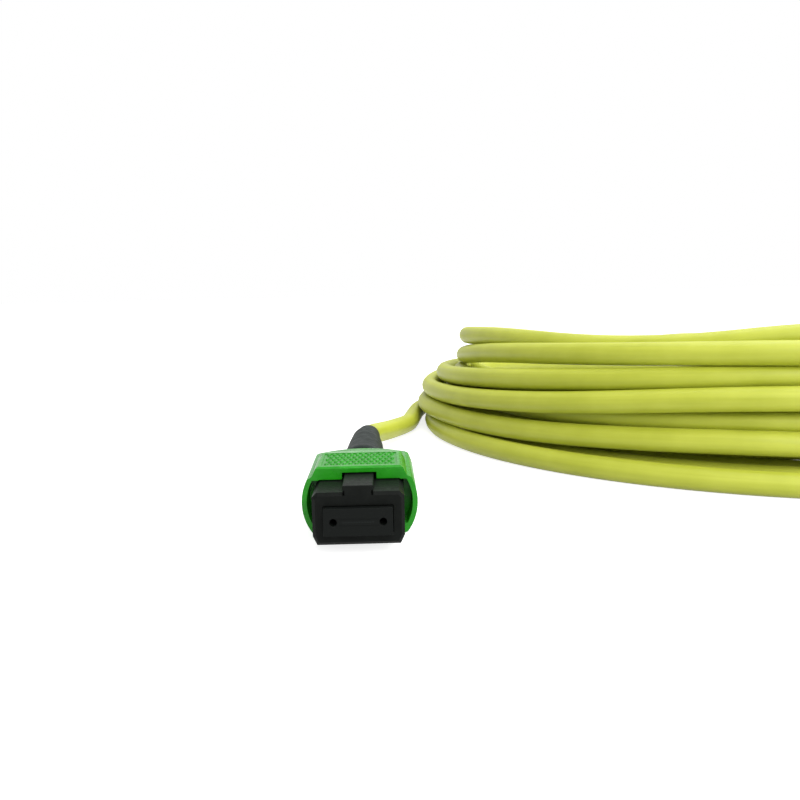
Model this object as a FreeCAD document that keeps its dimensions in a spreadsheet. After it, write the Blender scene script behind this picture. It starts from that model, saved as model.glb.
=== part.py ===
import FreeCAD, Part

import math
import os
import re

import Sketcher
from FreeCAD import Placement, Rotation, Vector

# Twelve-fibre push-on patch cable: a female plug, its round cable wound in a loose coil, and an
# identical plug on the far end. Each plug is built in its own frame: Y runs from the tip of the
# ferrule back along the plug, X across it and Z up from the table that the sleeve rests on.
# Every station along Y is worked out from the sizes below.

sizes = {
    # ferrule
    "axisHeight": 3.56,  # ferrule axis above the table
    "ferruleWidth": 6.4,
    "ferruleHeight": 2.5,
    "ferruleLength": 8.0,
    "ferruleReach": 1.1,  # how far the ferrule stands out of the nose
    "flangeWidth": 7.0,
    "flangeHeight": 3.0,
    "flangeLength": 2.1,
    "faceAngle": 8,
    "guidePitch": 4.6,
    "guideRadius": 0.35,
    "windowStart": 2.6,
    "windowLength": 2.2,
    "windowWidth": 3.2,
    "cradleWidth": 3.6,  # rear mouth of the ferrule, which holds the rubber boot of the ribbon
    "cradleHeight": 1.5,
    "cradleDepth": 2.9,
    # ribbon and its rubber boot
    "ribbonWidth": 3.05,
    "ribbonThickness": 0.3,
    "ribbonStart": 5.6,
    "ribbonEnd": 24.6,
    "ribbonPlay": 0.02,
    "rubberReach": 1.2,  # how far the rubber boot stands out behind the ferrule
    # keeper plate behind the ferrule
    "keeperLength": 1.3,
    "keeperWindowWidth": 3.9,
    "keeperWindowHeight": 1.7,
    "tabLength": 0.7,
    "tabThickness": 0.3,
    "tabHeight": 0.8,
    # nose, the inner housing
    "noseWidth": 8.6,
    "noseHeight": 5.0,
    "noseRise": 0.06,  # middle of the nose above the ferrule axis
    "noseLength": 17.1,
    "noseReach": 4.98,  # from the nose's front face to the sleeve's
    "noseBevel": 0.3,
    "noseTopCut": 0.45,
    "noseFootCut": 0.4,
    "noseFootRise": 0.85,
    "ferrulePlay": 0.08,  # ferrule and its flange in the nose, each side
    "keyWidth": 2.85,
    "keyHeight": 0.65,
    "keyLength": 7.9,
    "keyNotch": 0.2,
    "keyNotchDepth": 0.6,
    "keyBreak": 0.06,
    "latchStart": 2.4,  # side recess for the adapter's latches, from the nose's front face
    "latchLength": 1.9,
    "latchDepth": 0.6,
    "latchHeight": 3.0,
    "channelDepth": 0.27,  # side groove that the sleeve spring lies in
    "earLength": 0.9,
    "earReach": 0.7,
    "earHeight": 1.0,
    "bumpLength": 1.2,
    "bumpHeight": 0.26,
    "bumpWidth": 1.7,
    "bumpOffset": 2.7,
    "bumpRear": 3.8,  # from the bump's square rear face to the nose's rear end
    "snapWidth": 3.0,
    "snapLength": 1.1,
    "snapRear": 0.8,
    # coupling sleeve
    "sleeveWidth": 11.45,
    "sleeveHeight": 7.5,
    "sleeveLength": 12.3,
    "sleeveTravel": 2.0,
    "sleevePlay": 0.11,
    "sideArc": 5.2,  # radius of the bulging sides
    "sideMid": 3.9,
    "sideWall": 0.5,
    "sideTop": 6.3,
    "sideFoot": 0.8,
    "shelfTop": 6.45,
    "crownArc": 26.0,  # radius of the slightly crowned top behind the pad
    "shelfFoot": 0.5,
    "shelfHalf": 4.8,
    "padRootHalf": 4.8,
    "padTopHalf": 4.2,
    "padFootHalf": 4.0,
    "padLength": 9.9,
    "padSide": 7.2,  # length of the raised pad at its sides, where its rear edge curves forward
    "rampStart": 6.9,  # from here back the pad slopes down to the crowned top
    "rampDrop": 0.38,
    "panelInset": 0.9,
    "panelSide": 0.45,
    "panelDepth": 0.1,
    "pocketLength": 3.5,
    "pocketFoot": 1.65,
    "pocketTop": 6.15,
    "seatWall": 0.7,
    "slotHeight": 1.24,
    "notchPlay": 0.27,
    "notchRoof": 0.6,
    "edgeBreak": 0.18,
    # springs
    "springHeight": 3.6,
    "sideWire": 0.18,
    "sideCoil": 1.0,
    "sideTurns": 7,
    "mainWire": 0.4,
    "mainWidth": 6.3,
    "mainHeight": 2.9,
    "mainTurns": 4,
    "springPlay": 0.02,
    "springSteps": 10,
    "springSides": 6,
    # spring push, the rear housing
    "pushPlay": 0.1,
    "insertLength": 2.6,
    "snapRise": 0.4,
    "collarLength": 1.2,
    "collarWidth": 7.9,
    "collarHeight": 4.4,
    "barrelLength": 5.6,
    "barrelRadius": 1.9,
    "barrelBore": 1.6,
    "throatWidth": 4.2,
    "throatHeight": 1.7,
    # yarn and crimp
    "yarnThickness": 0.08,
    "crimpPlay": 0.02,
    "crimpWall": 0.22,
    "crimpGap": 0.2,
    "crimpTaper": 0.6,
    "crimpTail": 3.2,
    # strain relief boot
    "bootGap": 0.22,  # between the boot and the sleeve pushed fully back
    "bootLength": 24.0,
    "bootBase": 3.1,
    "bootShoulder": 2.78,
    "bootWaist": 2.5,
    "bootMiddle": 2.3,
    "bootNeck": 2.0,
    "bootTip": 1.7,
    "bootPlay": 0.05,
    # cable and coil
    "cableDiameter": 3.0,
    "bendStart": 34.5,  # stations where the cable starts to leave the axis inside the boot
    "bendMiddle": 41.8,
    "bendEnd": 48.4,
    "driftMiddle": -0.12,
    "driftEnd": 0.5,
    "sagEnd": 0.12,
    "coilRadius": 60.0,
    "coilBand": 11.0,
    "coilShift": 4.0,  # the band is narrow and high in front, wide and low at the back
    "coilHigh": 20.2,
    "coilLow": 11.6,
    "coilRim": 1.2,
    "coilX": 69.2,
    "coilY": 74.2,
    "coilTurn": -15,
    "farX": 138.4,
    "farY": -15.0,
}

# Points that the cable runs past behind each boot, counted from that plug's tip.
leadPoints = [(4.2, 56.0, 3.0), (7.2, 64.4, 2.45), (9.6, 73.6, 1.95), (10.9, 83.0, 1.6)]
tailPoints = [
    (-4.3, 56.2, 3.9),
    (-7.3, 65.5, 5.6),
    (-9.5, 75.5, 8.0),
    (-10.6, 85.5, 10.0),
    (-10.9, 95.0, 11.0),
]
for run, points in (("lead", leadPoints), ("tail", tailPoints)):
    for i, point in enumerate(points):
        for axis, value in zip("XYZ", point):
            sizes[f"{run}{axis}{i}"] = value

doc = FreeCAD.newDocument("fibre_patch_cable")
sheet = doc.addObject("Spreadsheet::Sheet", "Sizes")
for row, (alias, value) in enumerate(sizes.items(), start=1):
    sheet.set(f"A{row}", alias)
    sheet.set(f"B{row}", str(value))
    sheet.setAlias(f"B{row}", alias)
doc.recompute()

# Stations along a plug, from the ferrule's tip.
noseFront = "ferruleReach"
noseRear = "(ferruleReach + noseLength)"
shoulder = "(ferruleLength - flangeLength)"
keeperRear = "(ferruleLength + keeperLength)"
pushFront = f"({noseRear} - insertLength)"
sleeveFront = "(ferruleReach + noseReach)"
sleeveRear = f"({sleeveFront} + sleeveLength)"
springSeat = f"({sleeveFront} + pocketLength + seatWall)"
earFront = f"({noseRear} - earLength)"
bumpBack = f"({noseRear} - bumpRear)"
collarRear = f"({noseRear} + collarLength)"
barrelRear = f"({collarRear} + barrelLength)"
bootFront = f"({sleeveRear} + sleeveTravel + bootGap)"
bootRear = f"({bootFront} + bootLength)"
# Heights above the table.
noseTop = "(axisHeight + noseRise + noseHeight / 2)"
noseFoot = "(axisHeight + noseRise - noseHeight / 2)"
cavityTop = f"({noseTop} + sleevePlay)"
cavityFoot = f"({noseFoot} - sleevePlay)"
cavityHalf = "(noseWidth / 2 + sleevePlay)"
keyTop = f"({noseTop} + keyHeight)"
# Distances out from the axis.
springAxis = "(noseWidth / 2 - channelDepth + sideCoil / 2 + springPlay)"
yarnBore = "(barrelRadius + crimpPlay)"
crimpBore = f"({yarnBore} + yarnThickness + crimpPlay)"
crimpRadius = f"({crimpBore} + crimpWall)"
tailBore = "(cableDiameter / 2 + crimpPlay)"
tailRadius = f"({tailBore} + crimpWall)"
crimpFront = f"({collarRear} + crimpGap)"
crimpNeck = f"({barrelRear} + crimpGap)"
crimpTailStart = f"({crimpNeck} + crimpTaper)"
crimpRear = f"({crimpTailStart} + crimpTail)"


def term(text):
    """Names each size in an expression as a cell of the sheet."""
    return re.sub(r"[A-Za-z]\w*", lambda m: "Sizes." + m[0] if m[0] in sizes else m[0], text)


def number(text):
    return float(sheet.evalExpression(term(text)))


def side_at(height, inset):
    """Distance from the middle plane to the bulging side at a height, less an inset."""
    return f"(sleeveWidth / 2 - sideArc + sqrt((sideArc - {inset})^2 - ({height} - sideMid)^2))"


nodes = []


def new_body(label):
    body = doc.addObject("PartDesign::Body", label)
    body.Label = label
    nodes.append(body)
    return body


def new_shape(label, shape):
    feature = doc.addObject("Part::Feature", label)
    feature.Label = label
    feature.Shape = shape
    nodes.append(feature)
    return feature


def new_sketch(body, name, role, station="0", rise="0"):
    """A sketch on one of the body's planes. XZ_Plane stands at a station along Y."""
    sketch = body.newObject("Sketcher::SketchObject", name)
    plane = next(f for f in body.Origin.OriginFeatures if f.Role == role)
    sketch.AttachmentSupport = (plane, [""])
    sketch.MapMode = "FlatFace"
    along = f"-({station})" if role == "XZ_Plane" else station
    sketch.setExpression("AttachmentOffset.Base.z", term(along))
    sketch.setExpression("AttachmentOffset.Base.y", term(rise))
    return sketch


def pin_point(sketch, geometry, vertex, x, y):
    """Ties one vertex of a sketch to two expressions."""
    for kind, text in (("DistanceX", x), ("DistanceY", y)):
        index = sketch.addConstraint(
            Sketcher.Constraint(kind, -1, 1, geometry, vertex, number(text))
        )
        sketch.setExpression(f"Constraints[{index}]", term(text))


def outline(sketch, corners):
    """A closed outline through corners (x, y). A third item makes the side that starts there an
    arc that bulges outwards, or inwards where a fourth item says so, and gives its radius."""
    places = [Vector(number(c[0]), number(c[1]), 0) for c in corners]
    centre = sum(places, Vector()) / len(places)
    first = sketch.GeometryCount
    for i, corner in enumerate(corners):
        a, b = places[i], places[(i + 1) % len(places)]
        if len(corner) == 2:
            sketch.addGeometry(Part.LineSegment(a, b))
            continue
        radius = number(corner[2])
        middle, chord = (a + b) / 2, b - a
        across = Vector(-chord.y, chord.x, 0).normalize()
        outwards = len(corner) == 3
        across = across if (across.dot(middle - centre) > 0) == outwards else -across
        sagitta = radius - math.sqrt(radius**2 - chord.Length**2 / 4)
        sketch.addGeometry(Part.Arc(a, middle + across * sagitta, b))
    count = len(corners)
    for i, corner in enumerate(corners):
        side, following = first + i, first + (i + 1) % count
        starts, ends = vertex_order(sketch, side, places[i])
        next_start = vertex_order(sketch, following, places[(i + 1) % count])[0]
        sketch.addConstraint(Sketcher.Constraint("Coincident", side, ends, following, next_start))
        pin_point(sketch, side, starts, corner[0], corner[1])
        if len(corner) > 2:
            index = sketch.addConstraint(Sketcher.Constraint("Radius", side, number(corner[2])))
            sketch.setExpression(f"Constraints[{index}]", term(corner[2]))


def vertex_order(sketch, geometry, start):
    """Which vertex of a side lies at its start, and which at its end."""
    near = (sketch.getPoint(geometry, 1) - start).Length < (sketch.getPoint(geometry, 2) - start).Length
    return (1, 2) if near else (2, 1)


def rectangle(sketch, left, right, foot, top):
    outline(sketch, [(left, foot), (right, foot), (right, top), (left, top)])


def circle(sketch, x, y, radius):
    place = Vector(number(x), number(y), 0)
    geometry = sketch.addGeometry(Part.Circle(place, Vector(0, 0, 1), number(radius)))
    pin_point(sketch, geometry, 3, x, y)
    index = sketch.addConstraint(Sketcher.Constraint("Radius", geometry, number(radius)))
    sketch.setExpression(f"Constraints[{index}]", term(radius))


def pad(body, sketch, length, backwards=False):
    feature = body.newObject("PartDesign::Pad", sketch.Name + "_pad")
    feature.Profile = sketch
    feature.setExpression("Length", term(length))
    feature.Reversed = backwards
    doc.recompute()
    return feature


def pocket(body, sketch, length, backwards=False):
    """Cuts a pocket, and makes sure that it takes material away."""
    before = body.Shape.Volume
    feature = body.newObject("PartDesign::Pocket", sketch.Name + "_cut")
    feature.Profile = sketch
    feature.setExpression("Length", term(length))
    feature.Reversed = backwards
    doc.recompute()
    if body.Shape.Volume >= before - 1e-6:
        raise RuntimeError(f"{feature.Name} cuts nothing")
    return feature


def through(body, sketch):
    """Cuts right through the body, both ways from the sketch."""
    before = body.Shape.Volume
    feature = body.newObject("PartDesign::Pocket", sketch.Name + "_through")
    feature.Profile = sketch
    feature.Type = "ThroughAll"
    feature.SideType = "Symmetric"
    doc.recompute()
    if body.Shape.Volume >= before - 1e-6:
        raise RuntimeError(f"{feature.Name} cuts nothing")
    return feature


def chamfer(body, size, wanted):
    """Breaks the edges of the body that the test picks."""
    before = body.Tip
    names = [f"Edge{i}" for i, e in enumerate(before.Shape.Edges, start=1) if wanted(e)]
    feature = body.newObject("PartDesign::Chamfer", body.Label + "_bevel")
    feature.Base = (before, names)
    feature.setExpression("Size", term(size))
    doc.recompute()
    return feature


def lies_at(edge, station):
    box = edge.BoundBox
    return abs(box.YMin - station) < 1e-4 and abs(box.YMax - station) < 1e-4


# ---- ferrule and what travels with it ----


def build_ferrule(prefix):
    body = new_body(prefix + "ferrule")
    block = new_sketch(body, prefix + "ferrule_block", "XZ_Plane")
    rectangle(
        block,
        "-ferruleWidth / 2",
        "ferruleWidth / 2",
        "axisHeight - ferruleHeight / 2",
        "axisHeight + ferruleHeight / 2",
    )
    pad(body, block, "ferruleLength", backwards=True)
    flange = new_sketch(body, prefix + "ferrule_flange", "XZ_Plane", shoulder)
    rectangle(
        flange,
        "-flangeWidth / 2",
        "flangeWidth / 2",
        "axisHeight - flangeHeight / 2",
        "axisHeight + flangeHeight / 2",
    )
    pad(body, flange, "flangeLength", backwards=True)
    # the end face leans back towards the key side
    lean = new_sketch(body, prefix + "ferrule_lean", "YZ_Plane")
    foot, top = "axisHeight - ferruleHeight / 2", "axisHeight + ferruleHeight / 2"
    outline(
        lean,
        [
            ("0", foot),
            ("ferruleHeight * tan(faceAngle)", top),
            ("-ferruleHeight", top),
            ("-ferruleHeight", foot),
        ],
    )
    through(body, lean)
    window = new_sketch(body, prefix + "ferrule_window", "XY_Plane", "axisHeight + flangeHeight / 2")
    rectangle(
        window, "-windowWidth / 2", "windowWidth / 2", "windowStart", "windowStart + windowLength"
    )
    pocket(body, window, "flangeHeight / 2")
    cradle = new_sketch(body, prefix + "ferrule_cradle", "XZ_Plane", "ferruleLength - cradleDepth")
    rectangle(
        cradle,
        "-cradleWidth / 2",
        "cradleWidth / 2",
        "axisHeight - cradleHeight / 2",
        "axisHeight + cradleHeight / 2",
    )
    pocket(body, cradle, "cradleDepth")
    guides = new_sketch(body, prefix + "ferrule_guides", "XZ_Plane")
    circle(guides, "-guidePitch / 2", "axisHeight", "guideRadius")
    circle(guides, "guidePitch / 2", "axisHeight", "guideRadius")
    through(body, guides)


def build_rubber(prefix):
    body = new_body(prefix + "ferrule_boot")
    block = new_sketch(body, prefix + "rubber_block", "XZ_Plane", "ferruleLength - cradleDepth + ribbonPlay")
    rectangle(
        block,
        "-cradleWidth / 2 + ribbonPlay",
        "cradleWidth / 2 - ribbonPlay",
        "axisHeight - cradleHeight / 2 + ribbonPlay",
        "axisHeight + cradleHeight / 2 - ribbonPlay",
    )
    pad(body, block, "cradleDepth + rubberReach - ribbonPlay", backwards=True)
    slit = new_sketch(body, prefix + "rubber_slit", "XZ_Plane")
    rectangle(
        slit,
        "-ribbonWidth / 2 - ribbonPlay",
        "ribbonWidth / 2 + ribbonPlay",
        "axisHeight - ribbonThickness / 2 - ribbonPlay",
        "axisHeight + ribbonThickness / 2 + ribbonPlay",
    )
    through(body, slit)


def build_keeper(prefix):
    """Plate that closes the guide holes from behind, with two tabs that centre the spring."""
    body = new_body(prefix + "pin_keeper")
    plate = new_sketch(body, prefix + "keeper_plate", "XZ_Plane", "ferruleLength")
    rectangle(
        plate,
        "-flangeWidth / 2",
        "flangeWidth / 2",
        "axisHeight - flangeHeight / 2",
        "axisHeight + flangeHeight / 2",
    )
    pad(body, plate, "keeperLength", backwards=True)
    tabs = new_sketch(body, prefix + "keeper_tabs", "XZ_Plane", keeperRear)
    inner, outer = "keeperWindowWidth / 2", "(keeperWindowWidth / 2 + tabThickness)"
    foot, top = "axisHeight - tabHeight / 2", "axisHeight + tabHeight / 2"
    rectangle(tabs, f"-{outer}", f"-{inner}", foot, top)
    rectangle(tabs, inner, outer, foot, top)
    pad(body, tabs, "tabLength", backwards=True)
    window = new_sketch(body, prefix + "keeper_window", "XZ_Plane")
    rectangle(
        window,
        "-keeperWindowWidth / 2",
        "keeperWindowWidth / 2",
        "axisHeight - keeperWindowHeight / 2",
        "axisHeight + keeperWindowHeight / 2",
    )
    through(body, window)


def build_ribbon(prefix):
    body = new_body(prefix + "fibre_ribbon")
    strip = new_sketch(body, prefix + "ribbon_strip", "XZ_Plane", "ribbonStart")
    rectangle(
        strip,
        "-ribbonWidth / 2",
        "ribbonWidth / 2",
        "axisHeight - ribbonThickness / 2",
        "axisHeight + ribbonThickness / 2",
    )
    pad(body, strip, "ribbonEnd - ribbonStart", backwards=True)


# ---- nose ----


def build_nose(prefix):
    body = new_body(prefix + "inner_housing")
    section = new_sketch(body, prefix + "nose_section", "XZ_Plane", noseFront)
    half = "noseWidth / 2"
    topHalf, footHalf = f"({half} - noseTopCut)", f"({half} - noseFootCut)"
    outline(
        section,
        [
            (f"-{footHalf}", noseFoot),
            (footHalf, noseFoot),
            (half, f"{noseFoot} + noseFootRise"),
            (half, f"{noseTop} - noseTopCut"),
            (topHalf, noseTop),
            (f"-{topHalf}", noseTop),
            (f"-{half}", f"{noseTop} - noseTopCut"),
            (f"-{half}", f"{noseFoot} + noseFootRise"),
        ],
    )
    pad(body, section, "noseLength", backwards=True)
    front = number(noseFront)
    chamfer(body, "noseBevel", lambda e: lies_at(e, front))

    key = new_sketch(body, prefix + "nose_key", "XZ_Plane", noseFront)
    rectangle(key, "-keyWidth / 2", "keyWidth / 2", f"{noseTop} - noseBevel", keyTop)
    pad(body, key, "keyLength", backwards=True)
    chamfer(body, "keyBreak", is_key_edge)

    # relief notches at the front corners of the key
    notch = new_sketch(body, prefix + "nose_notch", "XZ_Plane", noseFront)
    for side in ("-", ""):
        inner, outer = f"{side}(keyWidth / 2 - keyNotch)", f"{side}(keyWidth / 2)"
        low, high = (outer, inner) if side else (inner, outer)
        rectangle(notch, low, high, f"{noseTop} - noseBevel", f"{noseTop} + keyNotch")
    pocket(body, notch, "keyNotchDepth")

    bore = new_sketch(body, prefix + "nose_window", "XZ_Plane", noseFront)
    rectangle(
        bore,
        "-ferruleWidth / 2 - ferrulePlay",
        "ferruleWidth / 2 + ferrulePlay",
        "axisHeight - ferruleHeight / 2 - ferrulePlay",
        "axisHeight + ferruleHeight / 2 + ferrulePlay",
    )
    pocket(body, bore, f"{shoulder} - {noseFront}")
    cavity = new_sketch(body, prefix + "nose_cavity", "XZ_Plane", shoulder)
    rectangle(
        cavity,
        "-flangeWidth / 2 - ferrulePlay",
        "flangeWidth / 2 + ferrulePlay",
        "axisHeight - flangeHeight / 2 - ferrulePlay",
        "axisHeight + flangeHeight / 2 + ferrulePlay",
    )
    pocket(body, cavity, f"{noseRear} - {shoulder}")

    # recesses in both sides for the adapter's latches
    latch = new_sketch(body, prefix + "nose_latch", "XY_Plane", "axisHeight + latchHeight / 2")
    start, end = f"{noseFront} + latchStart", f"{noseFront} + latchStart + latchLength"
    rectangle(latch, "-noseWidth", "-noseWidth / 2 + latchDepth", start, end)
    rectangle(latch, "noseWidth / 2 - latchDepth", "noseWidth", start, end)
    pocket(body, latch, "latchHeight")

    # side channels for the sleeve springs
    channel = new_sketch(body, prefix + "nose_channel", "XZ_Plane", springSeat)
    circle(channel, f"-{springAxis}", "springHeight", "sideCoil / 2 + springPlay")
    circle(channel, springAxis, "springHeight", "sideCoil / 2 + springPlay")
    pocket(body, channel, f"{earFront} - {springSeat}")

    # ears behind the springs, which they push against
    ears = new_sketch(body, prefix + "nose_ears", "XZ_Plane", earFront)
    foot, top = "springHeight - earHeight / 2", "springHeight + earHeight / 2"
    rectangle(ears, "-noseWidth / 2 - earReach", "-noseWidth / 2 + channelDepth", foot, top)
    rectangle(ears, "noseWidth / 2 - channelDepth", "noseWidth / 2 + earReach", foot, top)
    pad(body, ears, "earLength", backwards=True)

    # ramped bumps that stop the sleeve from leaving forwards
    for side in ("left", "right"):
        sign = "-" if side == "left" else ""
        bump = new_sketch(
            body, f"{prefix}bump_{side}", "YZ_Plane", f"{sign}bumpOffset - bumpWidth / 2"
        )
        for level, peak in ((noseTop, f"{noseTop} + bumpHeight"), (noseFoot, f"{noseFoot} - bumpHeight")):
            outline(bump, [(f"{bumpBack} - bumpLength", level), (bumpBack, level), (bumpBack, peak)])
        pad(body, bump, "bumpWidth")

    # windows that the snap hooks of the spring push click into
    snap = new_sketch(body, prefix + "nose_snap", "XY_Plane", noseTop)
    rectangle(
        snap,
        "-snapWidth / 2",
        "snapWidth / 2",
        f"{noseRear} - snapRear - snapLength",
        f"{noseRear} - snapRear",
    )
    pocket(body, snap, "noseHeight")


def is_key_edge(edge):
    """The two long top edges and the front top edge of the key."""
    box = edge.BoundBox
    top = number(keyTop)
    return abs(box.ZMin - top) < 1e-4 and abs(box.ZMax - top) < 1e-4 and box.YMin < number("keyLength")


# ---- coupling sleeve ----


def build_sleeve(prefix):
    body = new_body(prefix + "coupling_sleeve")
    # raised pad on top, with sloping sides and a curved rear edge
    plate = new_sketch(body, prefix + "sleeve_pad_top", "XZ_Plane", sleeveFront)
    outline(
        plate,
        [
            ("-padRootHalf", "sideTop"),
            ("padRootHalf", "sideTop"),
            ("padTopHalf", "sleeveHeight"),
            ("-padTopHalf", "sleeveHeight"),
        ],
    )
    pad(body, plate, "padLength", backwards=True)
    rear = new_sketch(body, prefix + "sleeve_pad_rear", "XY_Plane", "sleeveHeight")
    side, end = f"{sleeveFront} + padSide", f"{sleeveFront} + padLength * 2"
    outline(
        rear,
        [
            ("-padRootHalf", side, rear_arc("padRootHalf"), "inwards"),
            ("padRootHalf", side),
            ("padRootHalf", end),
            ("-padRootHalf", end),
        ],
    )
    pocket(body, rear, "sleeveHeight")
    chamfer(body, "edgeBreak", is_pad_edge)

    section = new_sketch(body, prefix + "sleeve_section", "XZ_Plane", sleeveFront)
    topSide, footSide = side_at("sideTop", "0"), side_at("sideFoot", "0")
    outline(
        section,
        [
            ("-padFootHalf", "shelfFoot"),
            ("padFootHalf", "shelfFoot"),
            (footSide, "sideFoot", "sideArc"),
            (topSide, "sideTop"),
            ("shelfHalf", "shelfTop", "crownArc"),
            ("-shelfHalf", "shelfTop"),
            (f"-{topSide}", "sideTop", "sideArc"),
            (f"-{footSide}", "sideFoot"),
        ],
    )
    pad(body, section, "sleeveLength", backwards=True)

    # raised pad below
    foot = new_sketch(body, prefix + "sleeve_pad_foot", "XY_Plane", "shelfFoot")
    side = f"{sleeveFront} + padSide"
    outline(
        foot,
        [
            ("-padFootHalf", sleeveFront),
            ("padFootHalf", sleeveFront),
            ("padFootHalf", side, rear_arc("padFootHalf")),
            ("-padFootHalf", side),
        ],
    )
    pad(body, foot, "shelfFoot", backwards=True)

    # the rear of the upper pad slopes down
    ramp = new_sketch(body, prefix + "sleeve_ramp", "YZ_Plane")
    start, end = f"({sleeveFront} + rampStart)", f"({sleeveFront} + padLength)"
    beyond = "(sleeveHeight + rampDrop)"
    outline(
        ramp,
        [
            (start, "sleeveHeight"),
            (end, "sleeveHeight - rampDrop"),
            (f"{end} + rampDrop", "sleeveHeight - rampDrop"),
            (f"{end} + rampDrop", beyond),
            (start, beyond),
        ],
    )
    through(body, ramp)

    panel = new_sketch(body, prefix + "sleeve_panel", "XY_Plane", "sleeveHeight")
    rectangle(
        panel,
        "-padTopHalf + panelSide",
        "padTopHalf - panelSide",
        f"{sleeveFront} + panelInset",
        f"{sleeveFront} + padSide - panelInset / 2",
    )
    pocket(body, panel, "panelDepth")

    cavity = new_sketch(body, prefix + "sleeve_cavity", "XZ_Plane", sleeveFront)
    outline(
        cavity,
        [
            (f"-{cavityHalf} + noseFootCut", cavityFoot),
            (f"{cavityHalf} - noseFootCut", cavityFoot),
            (cavityHalf, f"{cavityFoot} + noseFootRise"),
            (cavityHalf, f"{cavityTop} - noseTopCut"),
            (f"{cavityHalf} - noseTopCut", cavityTop),
            (f"-{cavityHalf} + noseTopCut", cavityTop),
            (f"-{cavityHalf}", f"{cavityTop} - noseTopCut"),
            (f"-{cavityHalf}", f"{cavityFoot} + noseFootRise"),
        ],
    )
    through(body, cavity)

    # room beside the nose for the adapter's latches
    pockets = new_sketch(body, prefix + "sleeve_pockets", "XZ_Plane", sleeveFront)
    low, high = "pocketFoot", "pocketTop"
    lowSide, highSide = side_at(low, "sideWall"), side_at(high, "sideWall")
    arc = "sideArc - sideWall"
    outline(
        pockets,
        [
            (f"{cavityHalf} - sleevePlay", low),
            (lowSide, low, arc),
            (highSide, high),
            (f"{cavityHalf} - noseTopCut", high),
        ],
    )
    outline(
        pockets,
        [
            (f"-{cavityHalf} + noseTopCut", high),
            (f"-{highSide}", high, arc),
            (f"-{lowSide}", low),
            (f"-{cavityHalf} + sleevePlay", low),
        ],
    )
    pocket(body, pockets, "pocketLength")

    # spring slots, open at the rear so that they pass the nose's ears
    slots = new_sketch(body, prefix + "sleeve_slots", "XZ_Plane", springSeat)
    foot, roof = "springHeight - slotHeight / 2", "springHeight + slotHeight / 2"
    reach = f"({springAxis} + sideCoil / 2 + springPlay * 2)"
    rectangle(slots, f"-{reach}", f"-{cavityHalf} + sleevePlay", foot, roof)
    rectangle(slots, f"{cavityHalf} - sleevePlay", reach, foot, roof)
    pocket(body, slots, "sleeveLength")

    notch = new_sketch(body, prefix + "sleeve_notch", "XZ_Plane", sleeveFront)
    rectangle(
        notch,
        "-keyWidth / 2 - notchPlay",
        "keyWidth / 2 + notchPlay",
        f"{cavityTop} - sleevePlay / 2",
        "sleeveHeight - notchRoof",
    )
    pocket(body, notch, f"{noseFront} + keyLength + notchPlay - {sleeveFront}")

    # grooves that the nose's bumps slide in
    groove = new_sketch(body, prefix + "sleeve_grooves", "XY_Plane", f"{noseTop} + bumpHeight + sleevePlay")
    for sign in ("-", ""):
        rectangle(
            groove,
            f"{sign}bumpOffset - bumpWidth / 2 - sleevePlay",
            f"{sign}bumpOffset + bumpWidth / 2 + sleevePlay",
            f"{bumpBack} - bumpLength - sleeveTravel - sleevePlay",
            bumpBack,
        )
    pocket(body, groove, "noseHeight + bumpHeight * 2 + sleevePlay * 2")


def rear_arc(half):
    """Radius of a raised pad's rear edge, which is padSide back at its ends and padLength back in
    the middle."""
    return f"(({half})^2 + (padLength - padSide)^2) / (2 * (padLength - padSide))"


def is_pad_edge(edge):
    """The edges round the top face of the upper raised pad."""
    box, top = edge.BoundBox, number("sleeveHeight")
    return abs(box.ZMin - top) < 1e-4 and abs(box.ZMax - top) < 1e-4


# ---- springs ----


def build_side_springs(prefix):
    for side, sign in (("left", "-"), ("right", "")):
        wire = number("sideWire") / 2
        radius = number("sideCoil") / 2 - wire
        middle = Vector(number(sign + springAxis), 0, number("springHeight"))
        front, rear = number(springSeat), number(earFront)
        shape = coiled_wire(middle, radius, radius, front, rear, number("sideTurns"), wire)
        new_shape(f"{prefix}sleeve_spring_{side}", shape)


def build_main_spring(prefix):
    """Flat oval spring round the ribbon, between the keeper and the spring push."""
    wire = number("mainWire") / 2
    halfWidth, halfHeight = number("mainWidth") / 2 - wire, number("mainHeight") / 2 - wire
    middle = Vector(0, 0, number("axisHeight"))
    front, rear = number(keeperRear), number(pushFront)
    shape = coiled_wire(middle, halfWidth, halfHeight, front, rear, number("mainTurns"), wire)
    new_shape(prefix + "main_spring", shape)


def coiled_wire(middle, halfWidth, halfHeight, front, rear, turns, wire):
    """Wire of a few flat sides, wound as an open spring from a front seat to a rear one."""
    start = front + wire + number("springPlay")
    pitch = (rear - wire - number("springPlay") - start) / turns
    perTurn, sides = int(number("springSteps")), int(number("springSides"))
    rings = []
    for step in range(int(turns * perTurn) + 1):
        turn = 2 * math.pi * step / perTurn
        out = Vector(math.cos(turn), 0, math.sin(turn))
        place = Vector(halfWidth * out.x, start + pitch * step / perTurn, halfHeight * out.z) + middle
        heading = Vector(-halfWidth * out.z, pitch / (2 * math.pi), halfHeight * out.x).normalize()
        across = (out - heading * out.dot(heading)).normalize()
        rise = heading.cross(across)
        angles = [2 * math.pi * k / sides for k in range(sides)]
        rings.append([place + (across * math.cos(a) + rise * math.sin(a)) * wire for a in angles])
    faces = [flat_face(rings[0]), flat_face(rings[-1])]
    for ring, following in zip(rings, rings[1:]):
        for k in range(sides):
            after = (k + 1) % sides
            faces.append(flat_face([ring[k], ring[after], following[after]]))
            faces.append(flat_face([ring[k], following[after], following[k]]))
    shell = Part.makeShell(faces)
    shell.sewShape()
    return Part.Solid(shell)


def flat_face(corners):
    return Part.Face(Part.makePolygon(corners + corners[:1]))


# ---- spring push, yarn and crimp ----


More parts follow.
